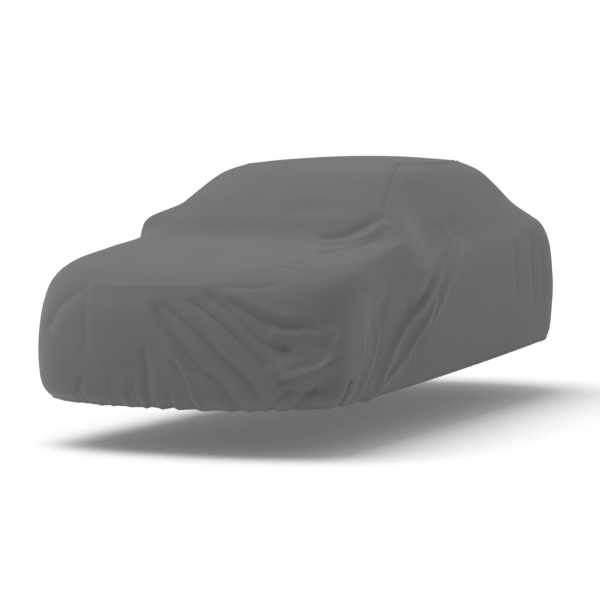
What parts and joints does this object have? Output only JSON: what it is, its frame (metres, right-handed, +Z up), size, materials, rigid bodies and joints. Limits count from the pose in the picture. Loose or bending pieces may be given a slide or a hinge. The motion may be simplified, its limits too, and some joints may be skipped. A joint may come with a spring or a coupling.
{
  "type": "fitted car cover",
  "caption": "Hollow fitted fabric cover that drapes over a whole car down to a gathered elastic hem, with a pouch over each door mirror.",
  "frame": {"origin": "under the top of the roof, on the car's middle plane, where the car's roof holds the cover up", "axes": "+Z up, -Y towards the car's front, +X towards the car's left side"},
  "size_m": [2.0287, 4.9471, 1.4303],
  "materials": {
    "cover_cloth": "matte grey non-woven cloth"
  },
  "bodies": {
    "root": {"centre_panel": "cover_cloth", "side_panel_left": "cover_cloth", "side_panel_right": "cover_cloth", "mirror_pocket_left": "cover_cloth", "mirror_pocket_right": "cover_cloth"}
  },
  "joints": []
}
